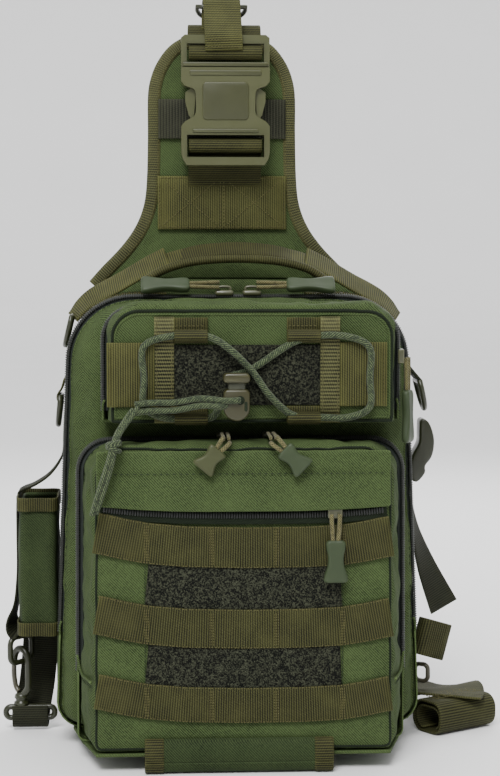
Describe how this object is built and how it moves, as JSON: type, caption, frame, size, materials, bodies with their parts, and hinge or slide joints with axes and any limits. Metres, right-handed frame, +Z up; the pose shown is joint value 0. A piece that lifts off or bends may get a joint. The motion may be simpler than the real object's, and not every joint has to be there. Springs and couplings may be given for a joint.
{
  "type": "sling bag",
  "caption": "Upright sling bag with zipped main compartment and front pockets, lacing, webbing rows, padded shoulder paddle, side-release buckle, handle, pouch and hooks",
  "frame": {"origin": "middle of the flat underside of the sleeve that the bag stands on", "axes": "+Z up, the bag's front faces -Y, +X is to the right of someone facing the front"},
  "size_m": [0.3337, 0.2069, 0.4919],
  "materials": {
    "fabric": "woven nylon, mid green, matt",
    "mesh_fabric": "padded mesh, dark green",
    "webbing": "ribbed olive-brown webbing",
    "dark_webbing": "ribbed dark olive webbing",
    "loop_tape": "near-black loop pile",
    "zip": "dark grey coil zip on grey tape",
    "buckle_plastic": "satin olive acetal",
    "hook_plastic": "satin dark olive acetal",
    "rubber": "soft grey-green moulding",
    "cord": "braided green cord"
  },
  "bodies": {
    "bag": {"rear_shell": "fabric", "base_panel": "fabric", "back_pad": "mesh_fabric", "main_zip": "zip", "bottom_sleeve": "fabric", "side_pouch": "fabric", "side_strap_left": "dark_webbing", "hook_webbing": "dark_webbing", "corner_tab_left": "webbing", "corner_tab_right": "webbing", "ring_tab_right": "dark_webbing", "shoulder_strap_lower": "webbing", "strap_end_loop": "webbing", "keeper_loop_right": "dark_webbing"},
    "main_front": {"front_panel": "fabric", "upper_zip": "zip", "lower_zip": "zip"},
    "lower_pocket": {"lower_pocket": "fabric", "attachment_webbing": "webbing"},
    "upper_pocket": {"upper_pocket": "fabric", "loop_panel_front": "loop_tape", "lacing_webbing_left": "webbing", "lacing_webbing_right": "webbing", "lacing_cord": "cord", "cord_lock": "hook_plastic"},
    "storm_flap": {"storm_flap": "fabric"},
    "lock_button": {"lock_button": "hook_plastic"},
    "lace_tails": {"lace_tails": "cord"},
    "main_slider_left": {"main_slider_left": "zip"},
    "main_slider_right": {"main_slider_right": "zip"},
    "main_pull_left": {"main_pull_left": "rubber"},
    "main_pull_right": {"main_pull_right": "rubber"},
    "lower_slider_left": {"lower_slider_left": "zip"},
    "lower_slider_right": {"lower_slider_right": "zip"},
    "lower_pull_left": {"lower_pull_left": "rubber"},
    "lower_pull_right": {"lower_pull_right": "rubber"},
    "flap_slider": {"flap_slider": "zip"},
    "flap_pull": {"flap_pull": "rubber"},
    "upper_slider": {"upper_slider": "zip"},
    "upper_pull": {"upper_pull": "rubber"},
    "carry_handle": {"carry_handle": "webbing"},
    "paddle": {"paddle_pad": "fabric", "paddle_binding": "webbing", "paddle_patch": "webbing", "buckle_socket": "buckle_plastic"},
    "buckle_plug": {"buckle_plug": "buckle_plastic", "shoulder_strap_upper": "webbing"},
    "buckle_prong_left": {"buckle_prong_left": "buckle_plastic"},
    "buckle_prong_right": {"buckle_prong_right": "buckle_plastic"},
    "d_ring_top": {"d_ring_top": "hook_plastic"},
    "d_ring_left_upper": {"d_ring_left_upper": "hook_plastic"},
    "d_ring_left_lower": {"d_ring_left_lower": "hook_plastic"},
    "strap_ring_left": {"strap_ring_left": "hook_plastic"},
    "hook_eye": {"hook_eye": "hook_plastic"},
    "snap_hook": {"snap_hook": "hook_plastic"},
    "hook_gate": {"hook_gate": "hook_plastic"},
    "d_ring_right": {"d_ring_right": "hook_plastic"},
    "side_hook_right": {"side_hook_right": "hook_plastic"},
    "strap_tail_right": {"strap_tail_right": "dark_webbing"},
    "swivel_ring_right": {"swivel_ring_right": "hook_plastic"}
  },
  "joints": [
    {"name": "main_front_open", "type": "hinge", "parent": "bag", "child": "main_front", "pos_m": [0, -0.076, 0.0122], "axis": [1, 0, 0], "range_deg": [0, 30]},
    {"name": "lower_pocket_open", "type": "hinge", "parent": "main_front", "child": "lower_pocket", "pos_m": [0, -0.076, 0.0122], "axis": [1, 0, 0], "range_deg": [0, 30], "deforming": ["lace_tails"]},
    {"name": "upper_pocket_open", "type": "hinge", "parent": "main_front", "child": "upper_pocket", "pos_m": [0.0065, -0.058, 0.2155], "axis": [1, 0, 0], "range_deg": [0, 22]},
    {"name": "storm_flap_lift", "type": "hinge", "parent": "lower_pocket", "child": "storm_flap", "pos_m": [0, -0.0812, 0.1855], "axis": [-1, 0, 0], "range_deg": [0, 90]},
    {"name": "lock_button_press", "type": "slide", "parent": "upper_pocket", "child": "lock_button", "axis": [0, 0, -1], "range_m": [0, 0.0035], "stiffness_N_per_m": 400, "springref_m": -0.0005},
    {"name": "lace_tails_swing", "type": "hinge", "parent": "upper_pocket", "child": "lace_tails", "pos_m": [-0.071, -0.071, 0.2195], "axis": [1, 0, 0], "range_deg": [-22, 0]},
    {"name": "main_slider_left_run", "type": "slide", "parent": "main_front", "child": "main_slider_left", "axis": [-1, 0, 0], "range_m": [0, 0.052]},
    {"name": "main_pull_left_lift", "type": "hinge", "parent": "main_slider_left", "child": "main_pull_left", "pos_m": [-0.016, -0.0036, 0.3005], "axis": [0, 1, 0], "range_deg": [0, 80]},
    {"name": "main_slider_right_run", "type": "slide", "parent": "main_front", "child": "main_slider_right", "axis": [1, 0, 0], "range_m": [0, 0.052]},
    {"name": "main_pull_right_lift", "type": "hinge", "parent": "main_slider_right", "child": "main_pull_right", "pos_m": [0.016, -0.0036, 0.3005], "axis": [0, -1, 0], "range_deg": [0, 80]},
    {"name": "lower_slider_left_run", "type": "slide", "parent": "lower_pocket", "child": "lower_slider_left", "axis": [-1, 0, 0], "range_m": [0, 0.05]},
    {"name": "lower_pull_left_lift", "type": "hinge", "parent": "lower_slider_left", "child": "lower_pull_left", "pos_m": [-0.011, -0.08, 0.2075], "axis": [-1, 0, 0], "range_deg": [0, 72]},
    {"name": "lower_slider_right_run", "type": "slide", "parent": "lower_pocket", "child": "lower_slider_right", "axis": [1, 0, 0], "range_m": [0, 0.05]},
    {"name": "lower_pull_right_lift", "type": "hinge", "parent": "lower_slider_right", "child": "lower_pull_right", "pos_m": [0.018, -0.08, 0.2075], "axis": [-1, 0, 0], "range_deg": [0, 72]},
    {"name": "flap_slider_run", "type": "slide", "parent": "lower_pocket", "child": "flap_slider", "axis": [-1, 0, 0], "range_m": [0, 0.11]},
    {"name": "flap_pull_lift", "type": "hinge", "parent": "flap_slider", "child": "flap_pull", "pos_m": [0.056, -0.0816, 0.161], "axis": [-1, 0, 0], "range_deg": [0, 75]},
    {"name": "upper_slider_run", "type": "slide", "parent": "main_front", "child": "upper_slider", "axis": [0, 0, 1], "range_m": [0, 0.012]},
    {"name": "upper_pull_lift", "type": "hinge", "parent": "upper_slider", "child": "upper_pull", "pos_m": [0.1075, -0.0355, 0.255], "axis": [0, -1, 0], "range_deg": [0, 70]},
    {"name": "carry_handle_tilt", "type": "hinge", "parent": "bag", "child": "carry_handle", "pos_m": [0, 0.0175, 0.304], "axis": [-1, 0, 0], "range_deg": [-5, 36]},
    {"name": "paddle_tilt", "type": "hinge", "parent": "bag", "child": "paddle", "pos_m": [-0.0078, 0.066, 0.3], "axis": [-1, 0, 0], "range_deg": [-35, 30]},
    {"name": "buckle_plug_pull", "type": "slide", "parent": "paddle", "child": "buckle_plug", "axis": [0, 0, 1], "range_m": [0, 0.038]},
    {"name": "buckle_prong_left_squeeze", "type": "hinge", "parent": "buckle_plug", "child": "buckle_prong_left", "pos_m": [-0.0215, 0.047, 0.4385], "axis": [0, -1, 0], "range_deg": [0, 6], "stiffness_Nm_per_rad": 0.05, "springref_deg": -1.15},
    {"name": "buckle_prong_right_squeeze", "type": "hinge", "parent": "buckle_plug", "child": "buckle_prong_right", "pos_m": [0.0095, 0.047, 0.4385], "axis": [0, 1, 0], "range_deg": [0, 6], "stiffness_Nm_per_rad": 0.05, "springref_deg": -1.15},
    {"name": "d_ring_top_flip", "type": "hinge", "parent": "buckle_plug", "child": "d_ring_top", "pos_m": [-0.008, 0.0599, 0.4863], "axis": [1, 0, 0], "range_deg": [0, 80]},
    {"name": "d_ring_left_upper_lift", "type": "hinge", "parent": "bag", "child": "d_ring_left_upper", "pos_m": [-0.1082, 0.026, 0.2794], "axis": [0, 1, 0], "range_deg": [0, 60]},
    {"name": "d_ring_left_lower_lift", "type": "hinge", "parent": "bag", "child": "d_ring_left_lower", "pos_m": [-0.1163, 0.038, 0.226], "axis": [0, 1, 0], "range_deg": [0, 60]},
    {"name": "strap_ring_left_sway", "type": "hinge", "parent": "bag", "child": "strap_ring_left", "pos_m": [-0.1445, 0.038, 0.0637], "axis": [0.6428, 0.766, 0], "range_deg": [-3, 3]},
    {"name": "hook_eye_sway", "type": "hinge", "parent": "bag", "child": "hook_eye", "pos_m": [-0.1385, 0.038, 0.0082], "axis": [1, 0, 0], "range_deg": [-1.5, 1.5]},
    {"name": "snap_hook_swivel", "type": "hinge", "parent": "hook_eye", "child": "snap_hook", "pos_m": [-0.1445, 0.038, 0.017], "axis": [0, 0, 1], "range_deg": [-6, 6]},
    {"name": "hook_gate_press", "type": "hinge", "parent": "snap_hook", "child": "hook_gate", "pos_m": [-0.1479, 0.0408, 0.0276], "axis": [0.6428, 0.766, 0], "range_deg": [0, 9], "stiffness_Nm_per_rad": 0.02, "springref_deg": -1.15},
    {"name": "d_ring_right_lift", "type": "hinge", "parent": "bag", "child": "d_ring_right", "pos_m": [0.1228, 0.035, 0.2356], "axis": [0, -1, 0], "range_deg": [0, 50]},
    {"name": "side_hook_right_swing", "type": "hinge", "parent": "d_ring_right", "child": "side_hook_right", "pos_m": [0.127, 0.035, 0.213], "axis": [0, -1, 0], "range_deg": [0, 40]},
    {"name": "strap_tail_right_swing", "type": "hinge", "parent": "bag", "child": "strap_tail_right", "pos_m": [0.1198, 0.045, 0.152], "axis": [0, -1, 0], "range_deg": [0, 30]},
    {"name": "swivel_ring_right_swing", "type": "hinge", "parent": "bag", "child": "swivel_ring_right", "pos_m": [0.1275, 0.04, 0.041], "axis": [0, -1, 0], "range_deg": [0, 30]}
  ],
  "couplings": [
    {"joint": "lace_tails_swing", "follows": "upper_pocket_open", "ratio": -1}
  ]
}
